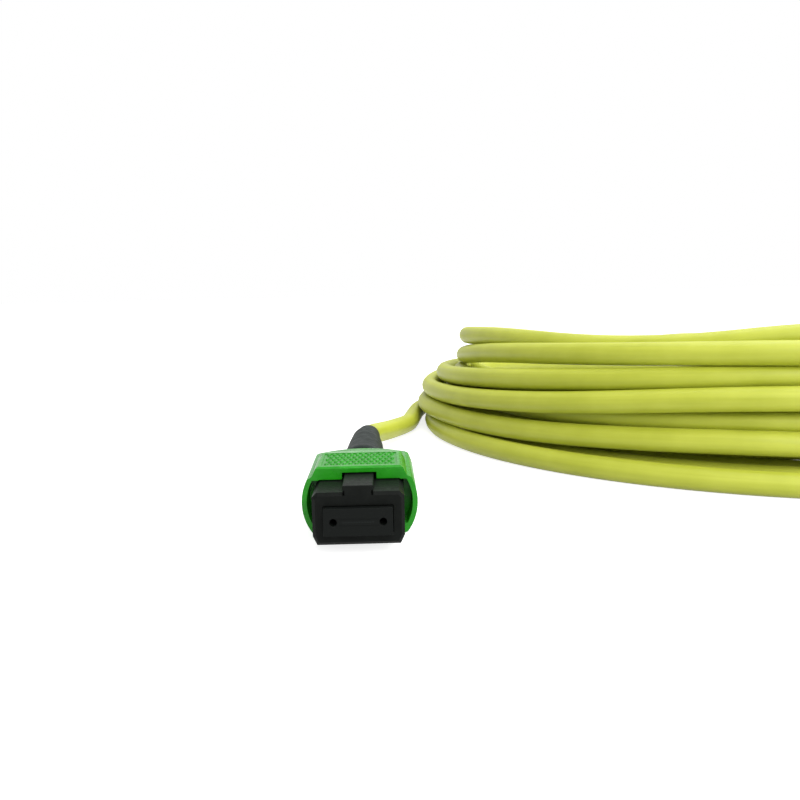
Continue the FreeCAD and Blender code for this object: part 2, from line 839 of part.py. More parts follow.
def build_push(prefix):
    body = new_body(prefix + "spring_push")
    insert = new_sketch(body, prefix + "push_insert", "XZ_Plane", pushFront)
    halfWidth = "(flangeWidth / 2 + ferrulePlay - pushPlay)"
    halfHeight = "(flangeHeight / 2 + ferrulePlay - pushPlay)"
    rectangle(
        insert,
        f"-{halfWidth}",
        halfWidth,
        f"axisHeight - {halfHeight}",
        f"axisHeight + {halfHeight}",
    )
    pad(body, insert, "insertLength", backwards=True)
    collar = new_sketch(body, prefix + "push_collar", "XZ_Plane", noseRear)
    rectangle(
        collar,
        "-collarWidth / 2",
        "collarWidth / 2",
        "axisHeight + noseRise - collarHeight / 2",
        "axisHeight + noseRise + collarHeight / 2",
    )
    pad(body, collar, "collarLength", backwards=True)
    barrel = new_sketch(body, prefix + "push_barrel", "XZ_Plane", collarRear)
    circle(barrel, "0", "axisHeight", "barrelRadius")
    pad(body, barrel, "barrelLength", backwards=True)
    # snap hooks, ramped towards the front
    hook = new_sketch(body, prefix + "push_hooks", "YZ_Plane", "-snapWidth / 2 + pushPlay")
    tip = f"{noseRear} - snapRear - pushPlay"
    root = f"{noseRear} - snapRear - snapLength + pushPlay"
    for sign in ("+", "-"):
        level = f"axisHeight {sign} {halfHeight}"
        outline(hook, [(root, level), (tip, level), (tip, f"{level} {sign} snapRise")])
    pad(body, hook, "snapWidth - pushPlay * 2")
    throat = new_sketch(body, prefix + "push_throat", "XZ_Plane", pushFront)
    rectangle(
        throat,
        "-throatWidth / 2",
        "throatWidth / 2",
        "axisHeight - throatHeight / 2",
        "axisHeight + throatHeight / 2",
    )
    pocket(body, throat, "insertLength")
    bore = new_sketch(body, prefix + "push_bore", "XZ_Plane", noseRear)
    circle(bore, "0", "axisHeight", "barrelBore")
    pocket(body, bore, "collarLength + barrelLength")


def build_yarn(prefix):
    """Strength yarn, folded back over the barrel and held by the crimp."""
    body = new_body(prefix + "aramid_yarn")
    ring = new_sketch(body, prefix + "yarn_ring", "XZ_Plane", crimpFront)
    circle(ring, "0", "axisHeight", f"{yarnBore} + yarnThickness")
    circle(ring, "0", "axisHeight", yarnBore)
    pad(body, ring, f"{barrelRear} - {crimpFront}", backwards=True)


def build_crimp(prefix):
    body = new_body(prefix + "crimp_sleeve")
    profile = new_sketch(body, prefix + "crimp_profile", "YZ_Plane", "0", "axisHeight")
    outline(
        profile,
        [
            (crimpFront, crimpBore),
            (crimpNeck, crimpBore),
            (crimpTailStart, tailBore),
            (crimpRear, tailBore),
            (crimpRear, tailRadius),
            (crimpTailStart, tailRadius),
            (crimpNeck, crimpRadius),
            (crimpFront, crimpRadius),
        ],
    )
    turned = body.newObject("PartDesign::Revolution", prefix + "crimp_turned")
    turned.Profile = profile
    turned.ReferenceAxis = (profile, ["H_Axis"])
    turned.Angle = 360
    doc.recompute()


# ---- cable ----


def rounded_path(points):
    """Straight runs joined by tangent arcs, as large as the shorter of their two runs allows."""
    share = 0.45
    edges, start, radii = [], points[0], []
    for before, corner, after in zip(points, points[1:], points[2:]):
        back, forth = (before - corner), (after - corner)
        cut = share * min(back.Length, forth.Length)
        back.normalize()
        forth.normalize()
        turn = math.pi - back.getAngle(forth)
        radius = cut / math.tan(turn / 2)
        radii.append(radius)
        a, b = corner + back * cut, corner + forth * cut
        bisector = (back + forth).normalize()
        middle = corner + bisector * (radius / math.cos(turn / 2) - radius)
        edges.append(Part.LineSegment(start, a).toShape())
        edges.append(Part.Arc(a, middle, b).toShape())
        start = b
    edges.append(Part.LineSegment(start, points[-1]).toShape())
    return Part.Wire(edges), radii


def tube(path, radius):
    first = path.Edges[0]
    start, heading = first.valueAt(first.FirstParameter), first.tangentAt(first.FirstParameter)
    profile = Part.Wire(Part.makeCircle(radius, start, heading))
    return path.makePipeShell([profile], True, False)


def cable_route(side):
    """The way out of a plug, which all boots follow: side is 1 to the right and -1 to the left."""
    axis = number("axisHeight")
    start = number(barrelRear) + number("crimpTaper") + 2 * number("crimpGap")
    return [
        Vector(0, start, axis),
        Vector(0, number("bendStart"), axis),
        Vector(side * number("driftMiddle"), number("bendMiddle"), axis),
        Vector(side * number("driftEnd"), number("bendEnd"), axis - number("sagEnd")),
    ]


# Shares of the boot's length and its radius there.
bootProfile = [
    (0, "bootBase"),
    (0.05, "bootBase"),
    (0.18, "bootShoulder"),
    (0.4, "bootWaist"),
    (0.62, "bootMiddle"),
    (0.84, "bootNeck"),
    (1, "bootTip"),
]


def build_cable(label, side, run, count, x, y):
    """The run from a plug to the coil, through the points named in the sheet."""
    points = cable_route(side)
    for i in range(count):
        points.append(Vector(*(number(f"{run}{axis}{i}") for axis in "XYZ")))
    path, radii = rounded_path(points)
    shape = tube(path, number("cableDiameter") / 2)
    expected = path.Length * math.pi * number("cableDiameter") ** 2 / 4
    print(f"{label}: {path.Length:.1f} mm, volume {shape.Volume / expected:.5f} of section x length")
    print("  radii", [round(r, 1) for r in radii])
    feature = new_shape(label, shape)
    feature.Placement = Placement(Vector(x, y, 0), Rotation())


def build_boot(prefix, side):
    """Tapered rubber boot, drawn a little to one side by the cable."""
    path = rounded_path(cable_route(side))[0]
    front = number(bootFront)
    rings = []
    for share, radius in bootProfile:
        station = front + share * number("bootLength")
        centre, heading = point_on(path, station, number("axisHeight"))
        rings.append(Part.Wire(Part.makeCircle(number(radius), centre, heading)))
    outer = Part.makeLoft(rings, True, True)
    play = number("bootPlay")
    ahead = Vector(0, 1, 0)
    middle = Vector(0, front, number("axisHeight"))
    cavities = [
        Part.makeCylinder(number(radius) + play, number(end) + play - front, middle, ahead)
        for radius, end in ((crimpRadius, crimpTailStart), (tailRadius, crimpRear))
    ]
    bore = tube(path, number("cableDiameter") / 2 + play)
    new_shape(prefix + "strain_relief_boot", outer.cut(cavities + [bore]))


def point_on(path, station, height):
    """Where a path crosses a station, and its heading there; ahead of the path it runs straight."""
    if station <= path.Edges[0].Vertexes[0].Point.y:
        return Vector(0, station, height), Vector(0, 1, 0)
    for edge in path.Edges:
        a, b = edge.FirstParameter, edge.LastParameter
        if edge.valueAt(a).y <= station <= edge.valueAt(b).y:
            for _ in range(50):
                middle = (a + b) / 2
                if edge.valueAt(middle).y < station:
                    a = middle
                else:
                    b = middle
            return edge.valueAt(a), edge.tangentAt(a)
    raise RuntimeError("the boot is longer than the first part of the cable's route")


def build_coil():
    """Outer shape of the coil: an eccentric band with a slanted top."""
    body = new_body("cable_coil")
    ring = new_sketch(body, "coil_ring", "XY_Plane")
    circle(ring, "0", "0", "coilRadius")
    circle(ring, "0", "-coilShift", "coilRadius - coilBand")
    pad(body, ring, "coilHigh")
    top = new_sketch(body, "coil_top", "YZ_Plane")
    outline(
        top,
        [
            ("-coilRadius", "coilHigh"),
            ("coilRadius", "coilLow"),
            ("coilRadius * 2", "coilLow"),
            ("coilRadius * 2", "coilHigh * 2"),
            ("-coilRadius", "coilHigh * 2"),
        ],
    )
    through(body, top)
    chamfer(body, "coilRim", is_round)
    place = Vector(number("coilX"), number("coilY"), 0)
    body.Placement = Placement(place, Rotation(Vector(0, 0, 1), number("coilTurn")))


def is_round(edge):
    """The rims of the coil, which leaves out the seams of its walls."""
    return edge.BoundBox.XLength > number("coilRadius")


def build_plug(prefix, side, x, y):
    first = len(nodes)
    build_ferrule(prefix)
    build_rubber(prefix)
    build_keeper(prefix)
    build_ribbon(prefix)
    build_main_spring(prefix)
    build_nose(prefix)
    build_sleeve(prefix)
    build_side_springs(prefix)
    build_push(prefix)
    build_yarn(prefix)
    build_crimp(prefix)
    build_boot(prefix, side)
    for node in nodes[first:]:
        node.Placement = Placement(Vector(x, y, 0), Rotation())
    return nodes[first:]


nearPlug = build_plug("", 1, 0, 0)
build_plug("far_", -1, number("farX"), number("farY"))
build_cable("cable_lead", 1, "lead", len(leadPoints), 0, 0)
build_cable("cable_tail", -1, "tail", len(tailPoints), number("farX"), number("farY"))
build_coil()
doc.recompute()

for item in doc.Objects:
    if "Invalid" in item.State or "Error" in item.State:
        raise RuntimeError(f"{item.Name} failed: {item.State}")
for node in nodes:
    if node.Shape.isNull() or not node.Shape.isValid():
        raise RuntimeError(f"{node.Label} has no valid shape")

# The row's origin is the middle of the near plug's underside.
whole = FreeCAD.BoundBox()
for node in nearPlug:
    whole.add(node.Shape.BoundBox)
shift = Vector(whole.Center.x, whole.Center.y, whole.ZMin)
for node in nodes:
    node.Placement.Base = node.Placement.Base - shift
doc.recompute()
print(f"near plug {whole.XLength:.2f} x {whole.YLength:.2f} x {whole.ZLength:.2f}, tip at {-shift.y:.3f}")

os.makedirs("parts", exist_ok=True)
for node in nodes:
    node.Shape.exportStep(f"parts/{node.Label}.step")
    print(f"{node.Label}: {len(node.Shape.Solids)} solid, {node.Shape.Volume:.3f} mm3")
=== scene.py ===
import math

import bmesh
import bpy
from mathutils import Matrix, Vector


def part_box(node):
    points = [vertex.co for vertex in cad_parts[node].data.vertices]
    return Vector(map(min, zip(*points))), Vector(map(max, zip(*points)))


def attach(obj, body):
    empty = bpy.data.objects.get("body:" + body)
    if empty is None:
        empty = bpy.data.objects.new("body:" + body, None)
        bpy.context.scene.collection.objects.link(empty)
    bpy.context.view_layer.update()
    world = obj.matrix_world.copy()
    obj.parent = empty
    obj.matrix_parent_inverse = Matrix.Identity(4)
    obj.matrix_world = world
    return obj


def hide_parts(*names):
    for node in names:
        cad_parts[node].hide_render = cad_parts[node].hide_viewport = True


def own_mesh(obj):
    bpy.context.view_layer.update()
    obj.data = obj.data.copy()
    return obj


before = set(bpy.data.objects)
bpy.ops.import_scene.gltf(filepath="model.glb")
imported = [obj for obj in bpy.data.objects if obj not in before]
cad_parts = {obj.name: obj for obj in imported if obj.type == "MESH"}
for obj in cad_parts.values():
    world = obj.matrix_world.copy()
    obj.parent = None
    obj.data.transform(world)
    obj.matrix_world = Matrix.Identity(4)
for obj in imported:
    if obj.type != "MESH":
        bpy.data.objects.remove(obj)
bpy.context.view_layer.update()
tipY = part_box("ferrule")[0].y  # front of the near plug; the cable's route is counted from here
mm = 0.001
perMetre = 1000  # mm in a metre
print("frame loaded")

camera = {
    "place": (2.76, -72.58, 24.58),  # mm from the ferrule's tip
    "yaw": -1.03,  # degrees, as the next two
    "down": 7.70,
    "roll": -1.26,
    "lens": 36.86,  # mm, as the sensor
    "sensor": 36.0,
    "nearest": 0.001,  # metres
    "farthest": 20,
}


# mm counted from the near ferrule's tip, as metres in the frame
def inFrame(x, y, z):
    return Vector((x * mm, y * mm + tipY, z * mm))


def makeCamera():
    yaw, down, roll = (math.radians(camera[k]) for k in ("yaw", "down", "roll"))
    ahead = Vector((-math.sin(yaw) * math.cos(down), math.cos(yaw) * math.cos(down), -math.sin(down)))
    across = Vector((math.cos(yaw), math.sin(yaw), 0))
    rise = across.cross(ahead)
    right = across * math.cos(roll) + rise * math.sin(roll)
    up = rise * math.cos(roll) - across * math.sin(roll)
    turn = Matrix((right, up, -ahead)).transposed().to_4x4()
    data = bpy.data.cameras.new("camera")
    data.lens = camera["lens"]
    data.sensor_width = camera["sensor"]
    data.clip_start = camera["nearest"]
    data.clip_end = camera["farthest"]
    obj = bpy.data.objects.new("camera", data)
    bpy.context.collection.objects.link(obj)
    obj.matrix_world = Matrix.Translation(inFrame(*camera["place"])) @ turn
    bpy.context.scene.camera = obj


makeCamera()
print("camera placed")

# all in mm
cable = {
    "diameter": 3.0,
    "stiffness": "stiff",
    "steps": 4,  # of the line between two of its points
    "roundness": 5,
    # points behind the near plug, out of its crimp, through its boot and up to the coil
    "lead": [
        (0, 26.0, 3.56), (0, 34.5, 3.56), (-0.12, 41.8, 3.56), (0.55, 48.5, 3.2),
        (2.5, 54.0, 2.6), (4.5, 59.8, 2.15), (6.8, 66.6, 1.75),
    ],
    # and from the coil back to the far plug
    "tail": [
        (127.9, 67.0, 11.6), (129.1, 58.6, 9.2), (131.7, 49.8, 6.2), (134.9, 41.4, 4.1),
        (137.8, 33.6, 3.4), (138.52, 26.8, 3.56), (138.4, 19.5, 3.56), (138.4, 11.0, 3.56),
    ],
}
# lengths in mm and angles in degrees, counted from the coil's right
coil = {
    "centre": (69.2, 74.2),
    "turns": 13.5,
    "perTurn": 36,  # points of the line
    "startAngle": 180,
    "shiftStart": 355,  # how far round the first turn moves over to the next place in the stack
    "shiftEvery": 333,
    "shiftWidth": 40,
    "frontAngles": (180, 204, 222, 238, 250),
    # radius and height of each place in the stack, at the angles above
    "places": [
        ((58.4, 1.5), (59.4, 1.5), (59.6, 1.5), (59.9, 1.5), (60.2, 1.5)),
        ((54.4, 1.5), (56.0, 1.5), (56.3, 1.5), (56.5, 1.5), (56.6, 1.5)),
        ((51.4, 1.5), (53.0, 1.5), (53.2, 1.5), (53.4, 1.5), (53.3, 1.5)),
        ((52.2, 4.2), (52.2, 4.4), (52.1, 4.4), (51.8, 4.4), (51.4, 4.4)),
        ((55.1, 4.2), (55.0, 4.4), (55.0, 4.5), (54.4, 4.6), (54.0, 4.6)),
        ((58.9, 3.9), (58.3, 4.3), (58.3, 4.8), (58.0, 5.8), (57.8, 6.9)),
        ((58.2, 6.4), (58.1, 7.9), (58.3, 8.9), (58.0, 10.8), (58.0, 11.5)),
        ((54.0, 7.0), (55.3, 7.2), (55.9, 7.3), (56.3, 7.7), (56.2, 7.9)),
        ((51.1, 7.0), (52.1, 7.3), (52.4, 7.4), (52.6, 7.4), (52.4, 7.3)),
        ((49.7, 9.6), (51.3, 10.1), (51.7, 10.3), (51.8, 10.3), (51.6, 10.3)),
        ((52.6, 9.7), (54.0, 10.6), (54.4, 10.5), (54.8, 10.5), (54.8, 10.5)),
        ((55.3, 9.5), (56.4, 10.9), (56.9, 11.9), (56.4, 13.2), (55.2, 13.5)),
        ((51.8, 12.3), (53.9, 15.1), (55.1, 15.5), (55.9, 16.1), (56.4, 16.2)),
        ((51.7, 16.2), (51.8, 17.4), (52.4, 15.9), (53.0, 16.0), (53.5, 18.6)),
        ((50.6, 17.0), (50.6, 17.0), (50.6, 17.0), (50.6, 17.0), (50.6, 17.0)),
    ],
    "enter": (61.4, 1.5),  # where the lead comes in, outside the first turn
    "enterOver": 45,
    "leave": (58.5, 12.4),  # where the last turn lies when the tail leaves it
    "leaveOver": 110,
    "tallFrom": (95, 88),  # where the stack starts to rise towards the front, and over how much
    "tallUntil": (350, 65),  # where it is low again, and over how much it sank
    "backSpread": 1.85,  # at the back the stack lies lower and wider
    "backDrop": 0.55,
    "frontMiddle": 55.2,
    "backMiddle": 52.6,
    "stray": 0.35,  # how far loose turns wander outside the neat stretch in front
    "strayWaves": 2,
    "strayTurn": 2.4,  # radians that the waves move on with each turn
    "neatFrom": (160, 30),
    "neatUntil": (275, 20),
    "touching": 0.995,  # diameters between two turns that touch
    "settleRounds": 120,
    "lastPushes": 8,  # rounds at the end that only part the turns
    "evening": 0.12,  # share of the way to its neighbours that a point goes in a round
    "pull": 0.07,  # and to its aim
}


def smoothStep(t):
    t = min(max(t, 0.0), 1.0)
    return t * t * (3 - 2 * t)


# 1 between two angles and 0 outside them, with a soft change at each
def within(angle, rise, fall):
    return smoothStep((angle - rise[0]) / rise[1]) * smoothStep((fall[0] - angle) / fall[1])


# radius and height of a place of the stack, from the table in front and evened out round the back
def tablePlace(slotIndex, angle):
    row = coil["places"][slotIndex]
    angles = [*coil["frontAngles"], coil["frontAngles"][0] + 360]
    if angle < angles[0]:
        angle += 360
    for low, high, a, b in zip(angles, angles[1:], row, [*row[1:], row[0]]):
        if angle <= high:
            t = (angle - low) / (high - low)
            if b is row[0]:
                t = smoothStep(t)
            return a[0] + (b[0] - a[0]) * t, a[1] + (b[1] - a[1]) * t


# the same at any angle round the coil: tall in front, low and wide at the back
def stackPlace(slotIndex, angle):
    angle %= 360
    tall = within(angle, coil["tallFrom"], coil["tallUntil"])
    radius, height = tablePlace(slotIndex, angle)
    spread = 1 + (coil["backSpread"] - 1) * (1 - tall)
    middle = coil["frontMiddle"] * tall + coil["backMiddle"] * (1 - tall)
    drop = 1 + (coil["backDrop"] - 1) * (1 - tall)
    floorHeight = cable["diameter"] / 2
    return middle + (radius - coil["frontMiddle"]) * spread, floorHeight + (height - floorHeight) * drop


# aims for all the turns, clockwise from the left
def aimTurns():
    perTurn, last = coil["perTurn"], len(coil["places"]) - 1
    count = int(coil["turns"] * perTurn) + 1
    aims = []
    for i in range(count):
        along = 360 * i / perTurn
        angle = coil["startAngle"] - along
        passed = (along - coil["shiftStart"]) / coil["shiftEvery"]
        slotIndex = min(max(math.floor(passed) + 1, 0), last)
        since = (passed - math.floor(passed)) * coil["shiftEvery"]
        part = smoothStep(since / coil["shiftWidth"]) if passed >= 0 else 1
        before = stackPlace(max(slotIndex - 1, 0), angle)
        after = stackPlace(slotIndex, angle)
        radius = before[0] + (after[0] - before[0]) * part
        height = before[1] + (after[1] - before[1]) * part
        loose = 1 - within(angle % 360, coil["neatFrom"], coil["neatUntil"])
        wave = coil["strayWaves"] * math.radians(angle) + coil["strayTurn"] * along / 360
        radius += coil["stray"] * loose * math.sin(wave)
        entering = 1 - smoothStep(along / coil["enterOver"])
        radius += (coil["enter"][0] - radius) * entering
        height += (coil["enter"][1] - height) * entering
        leaving = smoothStep((i - count + 1) / perTurn * 360 / coil["leaveOver"] + 1)
        radius += (coil["leave"][0] - radius) * leaving
        height += (coil["leave"][1] - height) * leaving
        aims.append((radius, height))
    return aims


# pushes turns that touch apart, round after round, and keeps each near its aim
def settleTurns(aims):
    turns = [list(a) for a in aims]
    perTurn, count = coil["perTurn"], len(aims)
    floorHeight, gap = cable["diameter"] / 2, cable["diameter"] * coil["touching"]
    for settling in range(coil["settleRounds"]):
        if settling < coil["settleRounds"] - coil["lastPushes"]:
            for i in range(1, count - 1):
                for axis in (0, 1):
                    even = (turns[i - 1][axis] + turns[i + 1][axis]) / 2
                    turns[i][axis] += coil["evening"] * (even - turns[i][axis])
                    turns[i][axis] += coil["pull"] * (aims[i][axis] - turns[i][axis])
        for i in range(count):
            for j in range(i + perTurn, count, perTurn):
                a, b = turns[i], turns[j]
                dr, dz = b[0] - a[0], b[1] - a[1]
                apart = math.hypot(dr, dz)
                if 0 < apart < gap:
                    push = 0.5 * (gap - apart) / apart
                    a[0] -= dr * push
                    a[1] -= dz * push
                    b[0] += dr * push
                    b[1] += dz * push
        for point in turns:
            point[1] = max(point[1], floorHeight)
    return turns


def windCoil():
    points = []
    for i, (radius, height) in enumerate(settleTurns(aimTurns())):
        t = math.radians(coil["startAngle"] - 360 * i / coil["perTurn"])
        radius /= math.cos(math.pi / coil["perTurn"])  # the spline passes inside its points
        x, y = coil["centre"]
        points.append((x + radius * math.cos(t), y + radius * math.sin(t), height))
    return points


# length of a curve object's middle line
def lineLength(data):
    bare = data.copy()
    bare.bevel_depth = 0
    probe = bpy.data.objects.new("probe", bare)
    bpy.context.collection.objects.link(probe)
    mesh = bpy.data.meshes.new_from_object(probe)
    ends = [[mesh.vertices[k].co for k in edge.vertices] for edge in mesh.edges]
    bpy.data.objects.remove(probe)
    return sum((a - b).length for a, b in ends)


def makeCable():
    points = list(cable["lead"]) + windCoil() + list(cable["tail"])
    data = bpy.data.curves.new("cable", "CURVE")
    data.dimensions = "3D"
    data.resolution_u = cable["steps"]
    data.bevel_depth = 1  # times each point's radius
    data.bevel_resolution = cable["roundness"]
    data.use_fill_caps = True
    spline = data.splines.new("NURBS")
    spline.points.add(len(points) - 1)
    for knot, point in zip(spline.points, points):
        knot.co = (*inFrame(*point), 1)
        knot.radius = cable["diameter"] * mm / 2
    spline.order_u = 3
    spline.use_endpoint_u = True
    obj = bpy.data.objects.new("cable", data)
    bpy.context.collection.objects.link(obj)
    total = lineLength(data)
    print("cable length", round(total, 3), "m")
    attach(obj, "housing")
    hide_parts("cable_lead", "cable_coil", "cable_tail")
    return obj, total


cableObj, cableLength = makeCable()
print("cable wound")


def newNode(tree, kind, **settings):
    node = tree.nodes.new(kind)
    for key, value in settings.items():
        setattr(node, key, value)
    return node


# place on the piece in mm, stretched along any axis
def millimetres(tree, stretch=(1, 1, 1)):
    place = newNode(tree, "ShaderNodeTexCoord")
    scaled = newNode(tree, "ShaderNodeMapping")
    scaled.inputs["Scale"].default_value = [perMetre * s for s in stretch]
    tree.links.new(place.outputs["Object"], scaled.inputs["Vector"])
    return scaled.outputs["Vector"]


# soft noise; the size of its spots in mm
def noise(tree, vector, size, detail=3.0, rough=0.55):
    node = newNode(tree, "ShaderNodeTexNoise")
    node.inputs["Scale"].default_value = 1 / size
    node.inputs["Detail"].default_value = detail
    node.inputs["Roughness"].default_value = rough
    tree.links.new(vector, node.inputs["Vector"])
    return node.outputs["Fac"]


# colours at their places between 0 and 1
def ramp(tree, factor, stops, interpolation="LINEAR"):
    node = newNode(tree, "ShaderNodeValToRGB")
    node.color_ramp.interpolation = interpolation
    elements = node.color_ramp.elements
    while len(elements) < len(stops):
        elements.new(0.5)
    for element, (position, color) in zip(elements, stops):
        element.position = position
        element.color = (*color, 1)
    tree.links.new(factor, node.inputs["Fac"])
    return node.outputs["Color"]


# a range of values from the middle of a noise, or from the range given
def span(tree, factor, low, high, fromLow=0.3, fromHigh=0.7):
    node = newNode(tree, "ShaderNodeMapRange")
    for name, value in (("From Min", fromLow), ("From Max", fromHigh), ("To Min", low), ("To Max", high)):
        node.inputs[name].default_value = value
    tree.links.new(factor, node.inputs["Value"])
    return node.outputs["Result"]


# stacks one bump on another; depth in mm
def bump(tree, height, depth, under=None):
    node = newNode(tree, "ShaderNodeBump")
    node.inputs["Distance"].default_value = depth * mm
    node.inputs["Strength"].default_value = 1
    tree.links.new(height, node.inputs["Height"])
    if under:
        tree.links.new(under, node.inputs["Normal"])
    return node.outputs["Normal"]


def newMaterial(name):
    material = bpy.data.materials.new(name)
    material.use_nodes = True
    return material, material.node_tree, material.node_tree.nodes["Principled BSDF"]


# shared by the soft and the moulded finishes
moulding = {
    "scatter": 0.4,  # mm that light travels under the surface
    "glossPatches": 0.4,  # size of the uneven gloss, as a share of the clouds of colour
}


# moulded plastic or rubber: cloudy colour, uneven gloss, spark-eroded grain over slow flow waves
def mouldedMaterial(name, look):
    material, tree, shader = newMaterial(name)
    place = millimetres(tree)
    cloud = noise(tree, place, look["cloud"], 4)
    color = ramp(tree, cloud, [(0.32, look["deep"]), (0.68, look["pale"])])
    tree.links.new(color, shader.inputs["Base Color"])
    patches = noise(tree, place, look["cloud"] * moulding["glossPatches"])
    tree.links.new(span(tree, patches, *look["rough"]), shader.inputs["Roughness"])
    flow = bump(tree, noise(tree, place, look["flow"], 2), look["flowDepth"])
    fine = bump(tree, noise(tree, place, look["grain"], 2), look["grainDepth"], under=flow)
    tree.links.new(fine, shader.inputs["Normal"])
    shader.inputs["Specular IOR Level"].default_value = look["gloss"]
    shader.inputs["Subsurface Weight"].default_value = look.get("depth", 0)
    shader.inputs["Subsurface Radius"].default_value = look.get("depthColor", (1, 1, 1))
    shader.inputs["Subsurface Scale"].default_value = moulding["scatter"] * mm
    return material


# sizes and depths in mm; depth and depthColor are the light under the surface
plastics = {
    "sleeveGreen": {
        "deep": (0.008, 0.21, 0.003), "pale": (0.014, 0.275, 0.006),
        "cloud": 1.6, "rough": (0.24, 0.38), "flow": 2.4, "flowDepth": 0.05,
        "grain": 0.07, "grainDepth": 0.009, "gloss": 0.24,
        "depth": 0.06, "depthColor": (0.4, 1.0, 0.3),
    },
    "housingBlack": {
        "deep": (0.0042, 0.005, 0.0044), "pale": (0.0068, 0.008, 0.007),
        "cloud": 1.1, "rough": (0.34, 0.48), "flow": 2.0, "flowDepth": 0.03,
        "grain": 0.05, "grainDepth": 0.006, "gloss": 0.05,
    },
    "pushBlack": {
        "deep": (0.009, 0.0095, 0.0095), "pale": (0.015, 0.016, 0.016),
        "cloud": 1.4, "rough": (0.42, 0.58), "flow": 1.6, "flowDepth": 0.03,
        "grain": 0.06, "grainDepth": 0.008, "gloss": 0.12,
    },
    "bootRubber": {
        "deep": (0.017, 0.022, 0.0205), "pale": (0.026, 0.0325, 0.031),
        "cloud": 2.2, "rough": (0.5, 0.66), "flow": 3.0, "flowDepth": 0.06,
        "grain": 0.11, "grainDepth": 0.012, "gloss": 0.05,
    },
    "ribbonRubber": {
        "deep": (0.36, 0.37, 0.36), "pale": (0.48, 0.49, 0.47),
        "cloud": 0.7, "rough": (0.5, 0.65), "flow": 0.9, "flowDepth": 0.02,
        "grain": 0.05, "grainDepth": 0.006, "gloss": 0.4,
        "depth": 0.3, "depthColor": (1.0, 0.95, 0.85),
    },
}


# ferrule: dark resin with fine glass filler that shows as pale specks and short streaks
def ferruleMaterial():
    look = {
        "resin": (0.005, 0.006, 0.0054), "glass": (0.022, 0.025, 0.023), "speck": 0.035,
        "rough": (0.3, 0.45), "grain": 0.08, "grainDepth": 0.003, "gloss": 0.06,
    }
    material, tree, shader = newMaterial("filledResin")
    place = millimetres(tree)
    specks = noise(tree, place, look["speck"], 1)
    color = ramp(tree, specks, [(0.0, look["resin"]), (0.66, look["resin"]), (0.82, look["glass"])])
    tree.links.new(color, shader.inputs["Base Color"])
    tree.links.new(span(tree, specks, *look["rough"]), shader.inputs["Roughness"])
    grain = bump(tree, noise(tree, place, look["grain"]), look["grainDepth"])
    tree.links.new(grain, shader.inputs["Normal"])
    shader.inputs["Specular IOR Level"].default_value = look["gloss"]
    return material


# jacket: soft vinyl, drawn lengthways, so its streaks follow the cable
def jacketMaterial():
    look = {
        "deep": (0.42, 0.46, 0.035), "pale": (0.52, 0.56, 0.062),
        "unrolled": (4800, 9.42),  # mm along and round the cable, about
        "streakLength": 30.0, "streakWidth": 0.9, "streakDepth": 0.02,
        "cloud": 6.0, "rough": (0.42, 0.56), "grain": 0.16, "grainDepth": 0.012,
        "gloss": 0.42, "depth": 0.1, "depthColor": (1.0, 0.9, 0.2),
    }
    material, tree, shader = newMaterial("jacketLime")
    place = millimetres(tree)
    along = newNode(tree, "ShaderNodeTexCoord").outputs["UV"]
    stretched = newNode(tree, "ShaderNodeMapping")
    length, girth = look["unrolled"]
    stretched.inputs["Scale"].default_value = (length / look["streakLength"], girth / look["streakWidth"], 1)
    tree.links.new(along, stretched.inputs["Vector"])
    streaks = noise(tree, stretched.outputs["Vector"], 1.0, 2)
    clouds = noise(tree, place, look["cloud"], 3)
    both = newNode(tree, "ShaderNodeMath", operation="ADD")
    tree.links.new(streaks, both.inputs[0])
    tree.links.new(clouds, both.inputs[1])
    mixed = span(tree, both.outputs[0], 0, 1, 0.7, 1.3)  # where most of the sum lies
    color = ramp(tree, mixed, [(0, look["deep"]), (1, look["pale"])])
    tree.links.new(color, shader.inputs["Base Color"])
    tree.links.new(span(tree, streaks, *look["rough"]), shader.inputs["Roughness"])
    drawn = bump(tree, streaks, look["streakDepth"])
    fine = bump(tree, noise(tree, place, look["grain"], 2), look["grainDepth"], under=drawn)
    tree.links.new(fine, shader.inputs["Normal"])
    shader.inputs["Specular IOR Level"].default_value = look["gloss"]
    shader.inputs["Subsurface Weight"].default_value = look["depth"]
    shader.inputs["Subsurface Radius"].default_value = look["depthColor"]
    shader.inputs["Subsurface Scale"].default_value = moulding["scatter"] * mm
    return material


# drawn or turned metal, streaked along the way it was worked
def metalMaterial(name, look):
    material, tree, shader = newMaterial(name)
    streaks = noise(tree, millimetres(tree, look["stretch"]), look["streak"], 3)
    color = ramp(tree, streaks, [(0.3, look["deep"]), (0.7, look["pale"])])
    tree.links.new(color, shader.inputs["Base Color"])
    tree.links.new(span(tree, streaks, *look["rough"]), shader.inputs["Roughness"])
    tree.links.new(bump(tree, streaks, look["depth"]), shader.inputs["Normal"])
    shader.inputs["Metallic"].default_value = 1
    return material


metals = {
    "springSteel": {
        "deep": (0.42, 0.43, 0.44), "pale": (0.62, 0.63, 0.64), "stretch": (1, 1, 1), "streak": 0.12,
        "rough": (0.22, 0.36), "depth": 0.002,
    },
    "crimpNickel": {
        "deep": (0.48, 0.46, 0.42), "pale": (0.66, 0.64, 0.6), "stretch": (1, 0.2, 1), "streak": 0.15,
        "rough": (0.26, 0.42), "depth": 0.006,
    },
    "keeperSteel": {
        "deep": (0.45, 0.45, 0.45), "pale": (0.6, 0.6, 0.6), "stretch": (0.15, 1, 1), "streak": 0.1,
        "rough": (0.3, 0.45), "depth": 0.004,
    },
}


